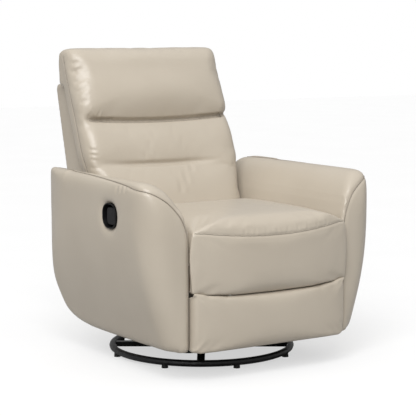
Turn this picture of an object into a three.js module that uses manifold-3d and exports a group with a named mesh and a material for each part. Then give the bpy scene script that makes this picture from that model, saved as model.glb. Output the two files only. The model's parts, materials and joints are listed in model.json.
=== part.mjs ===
// A manual nursery chair that swivels, glides and reclines, with a leg rest on a parallel linkage.
// Millimetres, +Z up. The chair faces -Y, and +X is on the right of someone who looks at its front.
// Every part is laid out from the swivel's axis on the floor. At the end the whole chair is moved
// so that the origin is on the floor under the middle of its bounding box.

import * as THREE from "three";
import { mergeVertices } from "three/addons/utils/BufferGeometryUtils.js";
import Module from "manifold-3d";

const wasm = await Module();
wasm.setup();

// ---------------------------------------------------------------- driving dimensions

const GAP = 0.3; // between parts that touch
const BASE_TURN = THREE.MathUtils.degToRad(-33); // the base stands turned under the chair

// Base
const RING_RADIUS = 300;
const RING_TUBE_RADIUS = 11;
const GLIDE_HEIGHT = 8;
const GLIDE_COUNT = 8;
const BAR_WIDTH = 25;
const BAR_BOTTOM = 11;
const BAR_TOP = 27;
const RACE_RADIUS = 75;
const SPINDLE_RADIUS = 12;
const UPPER_PLATE_BOTTOM = 34;
const UPPER_PLATE_TOP = 40;

// Glider
const GLIDE_PIVOT_Y = 150;
const GLIDE_TOP_PIVOT_Z = 263;
const GLIDE_LOW_PIVOT_Z = 123;
const STAND_X = [162, 168];
const LINK_X = [171, 175];
const HANGER_X = [183, 187];
const PIN_RADIUS = 5;
const PIN_CLEARANCE = 0.6;

// Seat box
const SEAT_HALF_WIDTH = 287;
const RAIL_X = [268, 289.5];
const RAIL_Z = [300, 362];
const RAIL_END_Y = 283;
const PLATE_X = [264.5, 267.7];
const CROSS_RAIL_Z = [338, 361];
const SEAT_UNDERSIDE_Z = 372;
const FRONT_RAIL_Y = [-385, -363];
const FRONT_RAIL_BOTTOM_Z = 285;
const SEAT_CROWN_Z = 514;

// The front edge of the seat, where cushion and front panel are sewn together, is an arc
const SEAM_SIDE_Z = 466;
const SEAM_CENTRE_Z = 445;
const PANEL_FOOT_SIDE_Z = 276;
const PANEL_FOOT_CENTRE_Z = 262;

// Arms
const ARM_INNER_X = 290;
const ARM_OUTER_X = 439;
const ARM_TOP_Z = 617;
const ARM_FRONT_Y = -392;

// Back: its front face leans back from the seat
const BACK_FOOT = { y: 146, z: 452 };
const BACK_LEAN = 0.404; // mm back for each mm up
const BACK_HALF_WIDTH = 284;
const CUSHION_DEPTH = 100;
const BOARD_THICKNESS = 15;
const BOARD_HALF_WIDTH = 250;
const CREASE_Z = 772; // between headrest and back cushion
const CHANNEL_Z = 625; // between the back cushion's two channels
const CHAIR_TOP_Z = 1008.5;
const RECLINE_PIVOT = { y: 270, z: 334 };

// Outer back shell
const SHELL_HALF_WIDTH = 277;
const SHELL_WALL = 14;
const SHELL_BOTTOM_Z = 375;
const SHELL_TOP_Z = 885;
const SHELL_FOOT = { y: 448, z: 611 };
const SHELL_LEAN = 0.2605;

// Leg rest linkage, folded: a drive arm hangs from the seat, a carrier bar reaches forward
const ARM_LENGTH = 230;
const ARM_ANGLE = THREE.MathUtils.degToRad(-115); // from straight ahead, upwards positive
const TIE_OFFSET = 34; // the tie bar's crank, beyond the carrier's pivot
const IDLER_SPACING = 120;
const DRIVE_PIVOT = { y: -205, z: 350 };
const FOOT_HINGE = { y: -372, z: 225 };
const ARM_LANE_X = [259, 263.7];
const BAR_LANE_X = [253, 257.7];
const FOOT_BOARD_Y = [-399.7, -387.7];
const FOOT_BOARD_Z = [108, 244];
const FOOT_HALF_WIDTH = 284;

// Release pull, in the outer face of the arm at -X
const PULL = { y: -150, z: 500, width: 84, height: 78, depth: 30, wall: 3 };
const PULL_FACE_X = -436;

// ---------------------------------------------------------------- finishes

const finish = (color, roughness, metalness) =>
  new THREE.MeshStandardMaterial({ color, roughness, metalness });
const leather = () => finish(0xc6bcac, 0.45, 0);
const blackPaint = () => finish(0x141414, 0.35, 0.4);
const steel = () => finish(0x8c8f92, 0.4, 0.9);
const wood = () => finish(0xb9935f, 0.7, 0);
const plastic = () => finish(0x161616, 0.4, 0);
const springSteel = () => finish(0x5b5e60, 0.5, 0.8);

// ---------------------------------------------------------------- solids

const chair = new THREE.Group();

function add(name, geometry, material, parent = chair) {
  const mesh = new THREE.Mesh(geometry, material);
  mesh.name = name;
  parent.add(mesh);
  return mesh;
}

// A closed geometry as a manifold solid, and a manifold solid as a geometry
function solid(geometry) {
  const bare = geometry.clone();
  bare.deleteAttribute("normal");
  bare.deleteAttribute("uv");
  const merged = mergeVertices(bare, 1e-3);
  return new wasm.Manifold(
    new wasm.Mesh({
      numProp: 3,
      vertProperties: merged.attributes.position.array,
      triVerts: new Uint32Array(merged.index.array),
    }),
  );
}

function geometryOf(manifold) {
  const mesh = manifold.getMesh();
  const geometry = new THREE.BufferGeometry();
  geometry.setAttribute("position", new THREE.BufferAttribute(mesh.vertProperties, 3));
  geometry.setIndex(new THREE.BufferAttribute(mesh.triVerts, 1));
  return geometry;
}

const cut = (body, ...tools) =>
  geometryOf(tools.reduce((left, tool) => left.subtract(solid(tool)), solid(body)));
const join = (...pieces) =>
  geometryOf(pieces.slice(1).reduce((sum, piece) => sum.add(solid(piece)), solid(pieces[0])));
const common = (...pieces) =>
  geometryOf(pieces.slice(1).reduce((left, piece) => left.intersect(solid(piece)), solid(pieces[0])));

const X = new THREE.Vector3(1, 0, 0);
const Y = new THREE.Vector3(0, 1, 0);
const Z = new THREE.Vector3(0, 0, 1);

// A flat outline given a thickness along one axis. Outlines for alongX are drawn in (y, z),
// for alongY in (x, z) and for alongZ in (x, y).
function extrude(outline, depth, curveSegments) {
  return new THREE.ExtrudeGeometry(outline, { depth, bevelEnabled: false, curveSegments });
}

function alongX(outline, from, to, curveSegments = 8) {
  const turn = new THREE.Matrix4().makeBasis(Y, Z, X);
  return extrude(outline, to - from, curveSegments).applyMatrix4(turn).translate(from, 0, 0);
}

function alongY(outline, from, to, curveSegments = 8) {
  const turn = new THREE.Matrix4().makeBasis(X, Z, Y.clone().negate());
  return extrude(outline, to - from, curveSegments).applyMatrix4(turn).translate(0, to, 0);
}

function alongZ(outline, from, to, curveSegments = 8) {
  return extrude(outline, to - from, curveSegments).translate(0, 0, from);
}

const box = ([x0, x1], [y0, y1], [z0, z1]) =>
  new THREE.BoxGeometry(x1 - x0, y1 - y0, z1 - z0).translate((x0 + x1) / 2, (y0 + y1) / 2, (z0 + z1) / 2);

const polygon = (points) => new THREE.Shape(points.map(([u, v]) => new THREE.Vector2(u, v)));

// A round rod along X between two x values
function rodX({ y, z }, radius, from, to, sides = 16) {
  const rod = new THREE.CylinderGeometry(radius, radius, Math.abs(to - from), sides);
  return rod.rotateZ(Math.PI / 2).translate((from + to) / 2, y, z);
}

// The outline of a flat bar with round ends, from a to b, drawn in (y, z)
function barOutline(a, b, halfWidth) {
  const along = Math.atan2(b.z - a.z, b.y - a.y);
  const outline = new THREE.Shape();
  outline.absarc(b.y, b.z, halfWidth, along - Math.PI / 2, along + Math.PI / 2, false);
  outline.absarc(a.y, a.z, halfWidth, along + Math.PI / 2, along + (3 * Math.PI) / 2, false);
  return outline;
}

function roundedRectangle(centreU, centreV, width, height, radius) {
  const u = width / 2;
  const v = height / 2;
  const outline = new THREE.Shape();
  outline.absarc(centreU + u - radius, centreV - v + radius, radius, -Math.PI / 2, 0, false);
  outline.absarc(centreU + u - radius, centreV + v - radius, radius, 0, Math.PI / 2, false);
  outline.absarc(centreU - u + radius, centreV + v - radius, radius, Math.PI / 2, Math.PI, false);
  outline.absarc(centreU - u + radius, centreV - v + radius, radius, Math.PI, 1.5 * Math.PI, false);
  return outline;
}

const mirrored = ([from, to], side) => (side > 0 ? [from, to] : [-to, -from]);
const SIDES = { left: -1, right: 1 };
const hole = (at, side, [from, to]) =>
  rodX(at, PIN_RADIUS + PIN_CLEARANCE, side * (from - 1), side * (to + 1));

// ---------------------------------------------------------------- base

function makeBase() {
  const base = new THREE.Group();
  base.rotation.z = BASE_TURN;
  chair.add(base);

  const ringZ = GLIDE_HEIGHT + RING_TUBE_RADIUS;
  const torus = (tube) => new THREE.TorusGeometry(RING_RADIUS, tube, 10, 64).translate(0, 0, ringZ);
  add("base_ring", torus(RING_TUBE_RADIUS), blackPaint(), base);

  // Cross bars welded inside the ring: one right across, and a short one on each side of it
  const weldGap = 1;
  const barEnd = RING_RADIUS - RING_TUBE_RADIUS - weldGap;
  const half = BAR_WIDTH / 2;
  const height = [BAR_BOTTOM, BAR_TOP];
  add("base_bar_long", box([-half, half], [-barEnd, barEnd], height), blackPaint(), base);
  add("base_bar_left", box([-barEnd, -half - GAP], [-half, half], height), blackPaint(), base);
  add("base_bar_right", box([half + GAP, barEnd], [-half, half], height), blackPaint(), base);

  // Glides are cups that the ring sits in
  const ringSpace = torus(RING_TUBE_RADIUS + GAP);
  const cupHeight = GLIDE_HEIGHT + 5;
  for (let i = 0; i < GLIDE_COUNT; i++) {
    const angle = ((i + 0.5) * 2 * Math.PI) / GLIDE_COUNT;
    const cup = new THREE.CylinderGeometry(10, 11, cupHeight, 14);
    cup.rotateX(Math.PI / 2);
    cup.translate(RING_RADIUS * Math.cos(angle), RING_RADIUS * Math.sin(angle), cupHeight / 2);
    add("glide_foot_" + (i + 1), cut(cup, ringSpace), plastic(), base);
  }

  // Lower swivel plate with its upright spindle
  const spindleTop = 60;
  const plateProfile = [
    [0, BAR_TOP + GAP],
    [RACE_RADIUS, BAR_TOP + GAP],
    [RACE_RADIUS, UPPER_PLATE_BOTTOM - 1],
    [SPINDLE_RADIUS, UPPER_PLATE_BOTTOM - 1],
    [SPINDLE_RADIUS, spindleTop],
    [0, spindleTop],
  ].map(([r, z]) => new THREE.Vector2(r, z));
  const lowerPlate = new THREE.LatheGeometry(plateProfile, 32).rotateX(Math.PI / 2);
  add("swivel_lower_plate", lowerPlate, steel(), base);

  const nutBottom = UPPER_PLATE_TOP + 1;
  const nutHeight = 12;
  const bore = SPINDLE_RADIUS + 2 * GAP;
  const nut = new THREE.CylinderGeometry(19, 19, nutHeight, 6);
  const nutBore = new THREE.CylinderGeometry(bore, bore, nutHeight + 2, 32);
  const threaded = cut(nut, nutBore);
  threaded.rotateX(Math.PI / 2).translate(0, 0, nutBottom + nutHeight / 2);
  add("spindle_nut", threaded, steel(), base);
}

// ---------------------------------------------------------------- glider

const lowPivot = (end) => ({ y: end * GLIDE_PIVOT_Y, z: GLIDE_LOW_PIVOT_Z });
const topPivot = (end) => ({ y: end * GLIDE_PIVOT_Y, z: GLIDE_TOP_PIVOT_Z });

// A flat plate with two legs, joined by a bar between footZ and barZ, with round ends at the pivots
function twoLegPlate(pivot, footZ, barZ, legHalfWidth) {
  const { y, z } = pivot(1);
  const legsUp = z > footZ;
  const arcStart = legsUp ? 0 : 2 * Math.PI;
  const outline = new THREE.Shape();
  outline.moveTo(-y - legHalfWidth, footZ);
  outline.lineTo(y + legHalfWidth, footZ);
  outline.absarc(y, z, legHalfWidth, arcStart, Math.PI, !legsUp);
  outline.lineTo(y - legHalfWidth, barZ);
  outline.lineTo(-y + legHalfWidth, barZ);
  outline.absarc(-y, z, legHalfWidth, arcStart, Math.PI, !legsUp);
  return outline;
}

function makeGlider() {
  const plate = roundedRectangle(0, 0, 344, 336, 40);
  plate.holes.push(new THREE.Path().absarc(0, 0, SPINDLE_RADIUS + 1, 0, 2 * Math.PI, true));
  add("swivel_upper_plate", alongZ(plate, UPPER_PLATE_BOTTOM, UPPER_PLATE_TOP), blackPaint());

  for (const [word, side] of Object.entries(SIDES)) {
    const standOutline = twoLegPlate(topPivot, UPPER_PLATE_TOP + GAP, 76, 14);
    const stand = alongX(standOutline, ...mirrored(STAND_X, side));
    const standHoles = [-1, 1].map((end) => hole(topPivot(end), side, STAND_X));
    add("glider_stand_" + word, cut(stand, ...standHoles), steel());

    const hangerOutline = twoLegPlate(lowPivot, CROSS_RAIL_Z[0] - GAP, 318, 13);
    const hanger = alongX(hangerOutline, ...mirrored(HANGER_X, side));
    const hangerHoles = [-1, 1].map((end) => hole(lowPivot(end), side, HANGER_X));
    add("seat_hanger_" + word, cut(hanger, ...hangerHoles), steel());

    for (const [endWord, end] of Object.entries({ front: -1, rear: 1 })) {
      const link = alongX(barOutline(topPivot(end), lowPivot(end), 11), ...mirrored(LINK_X, side));
      const topPin = rodX(topPivot(end), PIN_RADIUS, side * (STAND_X[0] - 3), side * (LINK_X[0] + 1));
      const lowPin = rodX(lowPivot(end), PIN_RADIUS, side * (LINK_X[1] - 1), side * (HANGER_X[1] + 3));
      add("glide_link_" + endWord + "_" + word, join(link, topPin, lowPin), steel());
    }
  }
}

// ---------------------------------------------------------------- leg rest linkage

const ahead = (angle, length) => ({ y: -Math.cos(angle) * length, z: Math.sin(angle) * length });
const sum = (a, b) => ({ y: a.y + b.y, z: a.z + b.z });

const CARRIER_PIVOT = sum(DRIVE_PIVOT, ahead(ARM_ANGLE, ARM_LENGTH));
const TIE_PIVOT = sum(CARRIER_PIVOT, ahead(ARM_ANGLE, TIE_OFFSET));
const TIE_END = sum(FOOT_HINGE, ahead(ARM_ANGLE, TIE_OFFSET));
const CARRIER_SLOPE = Math.atan2(FOOT_HINGE.z - CARRIER_PIVOT.z, CARRIER_PIVOT.y - FOOT_HINGE.y);
const IDLER_STEP = ahead(CARRIER_SLOPE, -IDLER_SPACING); // along the carrier, towards the rear
const IDLER_PIVOT = sum(DRIVE_PIVOT, IDLER_STEP);
const IDLER_END = sum(CARRIER_PIVOT, IDLER_STEP);

function makeLegRest() {
  const pinIn = (at, side) => rodX(at, PIN_RADIUS, side * (ARM_LANE_X[0] + 1), side * (BAR_LANE_X[0] - 2));
  const pinOut = (at, side) => rodX(at, PIN_RADIUS, side * (ARM_LANE_X[1] - 1), side * (PLATE_X[1] - 0.2));

  for (const [word, side] of Object.entries(SIDES)) {
    const armLane = mirrored(ARM_LANE_X, side);
    const barLane = mirrored(BAR_LANE_X, side);

    const drive = alongX(barOutline(DRIVE_PIVOT, TIE_PIVOT, 10), ...armLane);
    const drivePins = [pinOut(DRIVE_PIVOT, side), pinIn(CARRIER_PIVOT, side), pinIn(TIE_PIVOT, side)];
    add("drive_arm_" + word, join(drive, ...drivePins), steel());

    const idler = alongX(barOutline(IDLER_PIVOT, IDLER_END, 10), ...armLane);
    add("idler_arm_" + word, join(idler, pinOut(IDLER_PIVOT, side), pinIn(IDLER_END, side)), steel());

    const carrier = alongX(barOutline(IDLER_END, FOOT_HINGE, 9), ...barLane);
    const carrierHoles = [IDLER_END, CARRIER_PIVOT, FOOT_HINGE].map((at) => hole(at, side, BAR_LANE_X));
    add("carrier_bar_" + word, cut(carrier, ...carrierHoles), steel());

    const tie = alongX(barOutline(TIE_PIVOT, TIE_END, 8), ...barLane);
    const tieHoles = [TIE_PIVOT, TIE_END].map((at) => hole(at, side, BAR_LANE_X));
    add("tie_bar_" + word, cut(tie, ...tieHoles), steel());

    const backOfBoard = FOOT_BOARD_Y[1] + GAP;
    const bracketOutline = polygon([
      [backOfBoard, TIE_END.z - 24],
      [TIE_END.y + 4, TIE_END.z - 12],
      [TIE_END.y + 12, TIE_END.z],
      [FOOT_HINGE.y + 12, FOOT_HINGE.z + 3],
      [FOOT_HINGE.y + 3, FOOT_HINGE.z + 12],
      [backOfBoard, FOOT_HINGE.z + 14],
    ]);
    const bracket = alongX(bracketOutline, ...armLane);
    const bracketPins = [pinIn(FOOT_HINGE, side), pinIn(TIE_END, side)];
    add("footrest_bracket_" + word, join(bracket, ...bracketPins), steel());
  }

  const tubeEnd = ARM_LANE_X[0] - GAP;
  add("drive_tube", rodX(DRIVE_PIVOT, 9, -tubeEnd, tubeEnd), steel());

  add("footrest_board", box([-270, 270], FOOT_BOARD_Y, FOOT_BOARD_Z), wood());
  add("footrest_pad", makeFootrestPad(), leather());
}

// The pad's top edge follows the arc of the panel above it
function makeFootrestPad() {
  const back = FOOT_BOARD_Y[0] - GAP;
  const w = FOOT_HALF_WIDTH;
  const front = new THREE.Shape();
  front.moveTo(-w, 104);
  front.quadraticCurveTo(-w, 92, -w + 14, 92);
  front.lineTo(w - 14, 92);
  front.quadraticCurveTo(w, 92, w, 104);
  front.lineTo(w, PANEL_FOOT_SIDE_Z - 8);
  front.quadraticCurveTo(0, 2 * PANEL_FOOT_CENTRE_Z - PANEL_FOOT_SIDE_Z - 14, -w, PANEL_FOOT_SIDE_Z - 8);

  const side = new THREE.Shape();
  side.moveTo(back, 85);
  side.lineTo(-416, 85);
  side.bezierCurveTo(-440, 100, -446, 180, -436, 240);
  side.quadraticCurveTo(-430, 272, -412, 280);
  side.lineTo(back, 280);

  const plan = new THREE.Shape();
  plan.moveTo(-w, back);
  plan.lineTo(-w, -414);
  plan.quadraticCurveTo(0, -466, w, -414);
  plan.lineTo(w, back);
  return common(alongY(front, -470, back), alongX(side, -w - 1, w + 1), alongZ(plan, 80, 290));
}

// ---------------------------------------------------------------- seat

// The area under the sewn front edge of the seat, drawn in (x, z)
function underSeam(footZ, lift) {
  const halfWidth = SEAT_HALF_WIDTH + 5;
  const sideZ = SEAM_SIDE_Z + lift;
  const controlZ = 2 * SEAM_CENTRE_Z - SEAM_SIDE_Z + lift;
  const outline = new THREE.Shape();
  outline.moveTo(-halfWidth, sideZ);
  outline.lineTo(-halfWidth, footZ);
  outline.lineTo(halfWidth, footZ);
  outline.lineTo(halfWidth, sideZ);
  outline.quadraticCurveTo(0, controlZ, -halfWidth, sideZ);
  return outline;
}

// The front of the seat bows forward in plan, drawn in (x, y)
function bowedPlan(rearY, sideY, centreY) {
  const w = SEAT_HALF_WIDTH;
  const outline = new THREE.Shape();
  outline.moveTo(-w, rearY);
  outline.lineTo(-w, sideY);
  outline.quadraticCurveTo(0, 2 * centreY - sideY, w, sideY);
  outline.lineTo(w, rearY);
  return outline;
}

const backFaceY = (z) => BACK_FOOT.y + BACK_LEAN * (z - BACK_FOOT.z);

function makeSeatCushion() {
  const w = SEAT_HALF_WIDTH;
  const rearGap = 14;
  const noseY = FRONT_RAIL_Y[0] - GAP;
  const side = new THREE.Shape();
  side.moveTo(noseY, SEAT_UNDERSIDE_Z);
  side.lineTo(-432, SEAM_CENTRE_Z - 10);
  side.bezierCurveTo(-458, 466, -440, 500, -380, SEAT_CROWN_Z - 10);
  side.bezierCurveTo(-250, SEAT_CROWN_Z + 6, -60, SEAT_CROWN_Z + 2, 60, 494);
  side.quadraticCurveTo(120, 484, backFaceY(468) - rearGap, 462);
  side.lineTo(backFaceY(SEAT_UNDERSIDE_Z) - rearGap, SEAT_UNDERSIDE_Z);

  const front = new THREE.Shape();
  front.moveTo(-w, SEAT_UNDERSIDE_Z);
  front.lineTo(w, SEAT_UNDERSIDE_Z);
  front.lineTo(w, 462);
  front.bezierCurveTo(w, 492, 150, SEAT_CROWN_Z, 0, SEAT_CROWN_Z);
  front.bezierCurveTo(-150, SEAT_CROWN_Z, -w, 492, -w, 462);

  const block = common(
    alongX(side, -w - 1, w + 1),
    alongY(front, -470, 200),
    alongZ(bowedPlan(200, -404, -443), 360, 530),
  );
  return cut(block, alongY(underSeam(300, 2 * GAP), -480, noseY + GAP));
}

function makeFrontPanel() {
  const w = SEAT_HALF_WIDTH;
  const back = FRONT_RAIL_Y[0] - GAP;
  const foot = new THREE.Shape();
  foot.moveTo(-w - 1, 500);
  foot.lineTo(-w - 1, PANEL_FOOT_SIDE_Z);
  foot.quadraticCurveTo(0, 2 * PANEL_FOOT_CENTRE_Z - PANEL_FOOT_SIDE_Z, w + 1, PANEL_FOOT_SIDE_Z);
  foot.lineTo(w + 1, 500);

  const side = new THREE.Shape();
  side.moveTo(back, 240);
  side.lineTo(-420, 240);
  side.bezierCurveTo(-448, 290, -456, 370, -440, 470);
  side.lineTo(back, 470);
  return common(
    alongY(underSeam(200, 0), -470, back),
    alongY(foot, -470, back + 1),
    alongX(side, -w - 1, w + 1),
    alongZ(bowedPlan(back, -410, -448), 230, 480),
  );
}

// A sinuous spring zigzags from the front rail to the rear cross rail
function makeSpring(x) {
  const wire = 2;
  const amplitude = 22;
  const rearY = GLIDE_PIVOT_Y;
  const bends = 13;
  const startY = FRONT_RAIL_Y[1] - 12;
  const pitch = (rearY - startY) / bends;
  const points = [];
  for (let i = 0; i <= bends; i++) {
    const swing = i === 0 || i === bends ? 0 : amplitude * (i % 2 ? 1 : -1);
    points.push(new THREE.Vector3(x + swing, startY + i * pitch, RAIL_Z[1] + GAP + wire));
  }
  const section = new THREE.Shape().absarc(0, 0, wire, 0, 2 * Math.PI, false);
  const path = new THREE.CatmullRomCurve3(points);
  return new THREE.ExtrudeGeometry(section, { extrudePath: path, steps: bends * 4, curveSegments: 3 });
}

function makeSeatBox() {
  for (const [word, side] of Object.entries(SIDES)) {
    const rail = box(mirrored(RAIL_X, side), [FRONT_RAIL_Y[1] + GAP, RAIL_END_Y], RAIL_Z);
    add("side_rail_" + word, rail, wood());

    const plateOutline = polygon([
      [-228, 330],
      [-216, 361],
      [200, 361],
      [262, 350],
      [284, 340],
      [284, 322],
      [262, 300],
      [-70, 300],
      [-100, 296],
      [-210, 320],
    ]);
    const plate = alongX(plateOutline, ...mirrored(PLATE_X, side));
    const pivots = [DRIVE_PIVOT, IDLER_PIVOT, RECLINE_PIVOT].map((at) => hole(at, side, PLATE_X));
    add("mechanism_plate_" + word, cut(plate, ...pivots), steel());
  }

  const crossEnd = PLATE_X[0] - GAP;
  for (const [word, end] of Object.entries({ front: -1, rear: 1 })) {
    const y = end * GLIDE_PIVOT_Y;
    add("cross_rail_" + word, box([-crossEnd, crossEnd], [y - 14, y + 14], CROSS_RAIL_Z), steel());
  }

  const railEnd = RAIL_X[1];
  add("front_rail", box([-railEnd, railEnd], FRONT_RAIL_Y, [FRONT_RAIL_BOTTOM_Z, RAIL_Z[1]]), wood());
  [-130, 0, 130].forEach((x, i) => add("seat_spring_" + (i + 1), makeSpring(x), springSteel()));

  add("seat_cushion", makeSeatCushion(), leather());
  add("front_panel", makeFrontPanel(), leather());
  add("rear_skirt", makeRearSkirt(), leather());
}

// A leaning panel between the arms. Its upper part is narrower and reaches up inside the shell.
function makeRearSkirt() {
  const bottomZ = 94;
  const shoulderZ = 311;
  const topZ = 385;
  const rear = (z) => 268 + 0.164 * (z - bottomZ);
  const thickness = 18;
  const side = polygon([
    [rear(bottomZ) - thickness, bottomZ],
    [rear(bottomZ), bottomZ],
    [rear(topZ), topZ],
    [rear(topZ) - thickness, topZ],
  ]);
  const wide = SEAT_HALF_WIDTH;
  const narrow = 246;
  const face = polygon([
    [-wide, bottomZ - 1],
    [wide, bottomZ - 1],
    [wide, shoulderZ],
    [narrow, shoulderZ + 6],
    [narrow, topZ + 1],
    [-narrow, topZ + 1],
    [-narrow, shoulderZ + 6],
    [-wide, shoulderZ],
  ]);
  return common(alongX(side, -wide - 1, wide + 1), alongY(face, 200, 340));
}

// ---------------------------------------------------------------- arms

// The arm at +X: a side outline, a front outline and a plan outline, each extruded, in common
function makeArm() {
  const side = new THREE.Shape();
  side.moveTo(-375, 92);
  side.quadraticCurveTo(ARM_FRONT_Y, 92, ARM_FRONT_Y, 112);
  side.lineTo(ARM_FRONT_Y, 425);
  side.bezierCurveTo(-391, 500, -376, 560, -358, 586);
  side.quadraticCurveTo(-338, ARM_TOP_Z - 1, -290, ARM_TOP_Z);
  side.lineTo(310, ARM_TOP_Z);
  side.quadraticCurveTo(340, ARM_TOP_Z - 2, 345, 585);
  side.lineTo(352, 519);
  side.bezierCurveTo(356, 400, 330, 250, 303, 156);
  side.bezierCurveTo(286, 108, 220, 86, 60, 86);

  const front = new THREE.Shape();
  front.moveTo(ARM_INNER_X, 80);
  front.lineTo(334, 80);
  front.quadraticCurveTo(355, 86, 361, 115);
  front.bezierCurveTo(385, 196, 446, 330, ARM_OUTER_X, 545);
  front.bezierCurveTo(ARM_OUTER_X + 1, 590, 436, ARM_TOP_Z, 408, ARM_TOP_Z);
  front.bezierCurveTo(350, ARM_TOP_Z, 302, 545, ARM_INNER_X, 440);

  const plan = new THREE.Shape();
  plan.moveTo(280, -400);
  plan.lineTo(345, -393);
  plan.bezierCurveTo(405, -388, 438, -350, ARM_OUTER_X, -290);
  plan.lineTo(ARM_OUTER_X, 120);
  plan.bezierCurveTo(ARM_OUTER_X, 230, 425, 300, 380, 330);
  plan.quadraticCurveTo(350, 350, 310, 354);
  plan.lineTo(280, 356);
  return common(alongX(side, 280, 450), alongY(front, -400, 370), alongZ(plan, 70, 630));
}

function makeArms() {
  const right = makeArm();
  add("arm_right", right, leather());

  const pocket = roundedRectangle(PULL.y, PULL.z, PULL.width + 2 * GAP, PULL.height + 2 * GAP, 34);
  const inner = PULL_FACE_X + PULL.depth + GAP;
  const left = right.clone().applyMatrix4(new THREE.Matrix4().makeScale(-1, 1, 1));
  const flipped = left.index.array;
  for (let i = 0; i < flipped.length; i += 3) {
    [flipped[i + 1], flipped[i + 2]] = [flipped[i + 2], flipped[i + 1]];
  }
  add("arm_left", cut(left, alongX(pocket, PULL_FACE_X - 10, inner)), leather());
}

// The release pull: a tray let into the arm, and a paddle hinged at its front edge
function makePull() {
  const outline = roundedRectangle(PULL.y, PULL.z, PULL.width, PULL.height, 33.5);
  const tray = alongX(outline, PULL_FACE_X, PULL_FACE_X + PULL.depth);
  const innerOutline = roundedRectangle(
    PULL.y,
    PULL.z,
    PULL.width - 2 * PULL.wall,
    PULL.height - 2 * PULL.wall,
    30.5,
  );
  const hollow = alongX(innerOutline, PULL_FACE_X - 1, PULL_FACE_X + PULL.depth - PULL.wall);
  add("pull_bezel", cut(tray, hollow), plastic());

  const paddleFront = PULL.y - 32;
  const paddleRear = PULL.y + 16;
  const paddleOutline = roundedRectangle((paddleFront + paddleRear) / 2, PULL.z, 48, 52, 14);
  add("release_paddle", alongX(paddleOutline, PULL_FACE_X + 3, PULL_FACE_X + 10), plastic());
}

// ---------------------------------------------------------------- back

const shellRearY = (z) => SHELL_FOOT.y + SHELL_LEAN * (z - SHELL_FOOT.z);

function makeBackCushion() {
  const bottomZ = 380;
  const topZ = CREASE_Z - 3;
  const side = new THREE.Shape();
  side.moveTo(backFaceY(bottomZ) + CUSHION_DEPTH - GAP, bottomZ);
  side.lineTo(backFaceY(topZ) + CUSHION_DEPTH - GAP, topZ);
  side.lineTo(backFaceY(topZ) + 18, topZ);
  side.bezierCurveTo(backFaceY(750) - 14, 750, backFaceY(650) - 16, 650, backFaceY(CHANNEL_Z) + 4, CHANNEL_Z);
  side.bezierCurveTo(backFaceY(590) - 16, 590, backFaceY(480) - 10, 480, backFaceY(bottomZ) + 2, bottomZ);
  return alongX(side, -BACK_HALF_WIDTH, BACK_HALF_WIDTH, 10);
}

function makeHeadrest() {
  const bottomZ = CREASE_Z + 3;
  const boardTop = 876.5;
  const w = BACK_HALF_WIDTH;
  const side = new THREE.Shape();
  side.moveTo(backFaceY(bottomZ) + CUSHION_DEPTH - GAP, bottomZ);
  side.lineTo(backFaceY(boardTop) + CUSHION_DEPTH - GAP, boardTop);
  side.lineTo(452, boardTop);
  side.lineTo(457, 955);
  side.bezierCurveTo(455, 990, 440, CHAIR_TOP_Z, 400, CHAIR_TOP_Z);
  side.bezierCurveTo(372, CHAIR_TOP_Z, 352, 990, 342, 955);
  side.bezierCurveTo(322, 900, 296, 845, 276, 800);
  side.quadraticCurveTo(274, 780, backFaceY(bottomZ) + 26, bottomZ);

  const face = new THREE.Shape();
  face.moveTo(-w, bottomZ - 1);
  face.lineTo(w, bottomZ - 1);
  face.lineTo(w, CHAIR_TOP_Z - 24);
  face.quadraticCurveTo(w - 1, CHAIR_TOP_Z - 4, w - 24, CHAIR_TOP_Z - 2);
  face.quadraticCurveTo(0, CHAIR_TOP_Z + 2, -w + 24, CHAIR_TOP_Z - 2);
  face.quadraticCurveTo(-w + 1, CHAIR_TOP_Z - 4, -w, CHAIR_TOP_Z - 24);
  return common(alongX(side, -w - 1, w + 1), alongY(face, 200, 500));
}

// The board that carries cushions in front and the shell behind
function makeBackBoard() {
  const bottomZ = 346;
  const topZ = 872;
  const front = (z) => backFaceY(z) + CUSHION_DEPTH;
  const side = polygon([
    [front(bottomZ), bottomZ],
    [front(bottomZ) + BOARD_THICKNESS, bottomZ],
    [front(topZ) + BOARD_THICKNESS, topZ],
    [front(topZ), topZ],
  ]);
  return alongX(side, -BOARD_HALF_WIDTH, BOARD_HALF_WIDTH);
}

function makeShell() {
  const front = (z) => backFaceY(z) + CUSHION_DEPTH + BOARD_THICKNESS + GAP;
  const headrestRear = 457.6;
  const cornerZ = 873;
  const outer = new THREE.Shape();
  outer.moveTo(front(SHELL_BOTTOM_Z), SHELL_BOTTOM_Z);
  outer.lineTo(shellRearY(SHELL_BOTTOM_Z), SHELL_BOTTOM_Z);
  outer.lineTo(shellRearY(850), 850);
  outer.quadraticCurveTo(shellRearY(880), 882, 494, SHELL_TOP_Z);
  outer.lineTo(headrestRear + 2, SHELL_TOP_Z);
  outer.lineTo(headrestRear, cornerZ);
  outer.lineTo(front(cornerZ), cornerZ);

  const roof = cornerZ - SHELL_WALL;
  const inner = polygon([
    [front(SHELL_BOTTOM_Z - 10) - 20, SHELL_BOTTOM_Z - 10],
    [shellRearY(SHELL_BOTTOM_Z - 10) - SHELL_WALL, SHELL_BOTTOM_Z - 10],
    [shellRearY(roof) - SHELL_WALL, roof],
    [front(roof) - 20, roof],
  ]);
  const cavityHalfWidth = SHELL_HALF_WIDTH - SHELL_WALL;
  return cut(
    alongX(outer, -SHELL_HALF_WIDTH, SHELL_HALF_WIDTH),
    alongX(inner, -cavityHalfWidth, cavityHalfWidth),
  );
}

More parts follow.
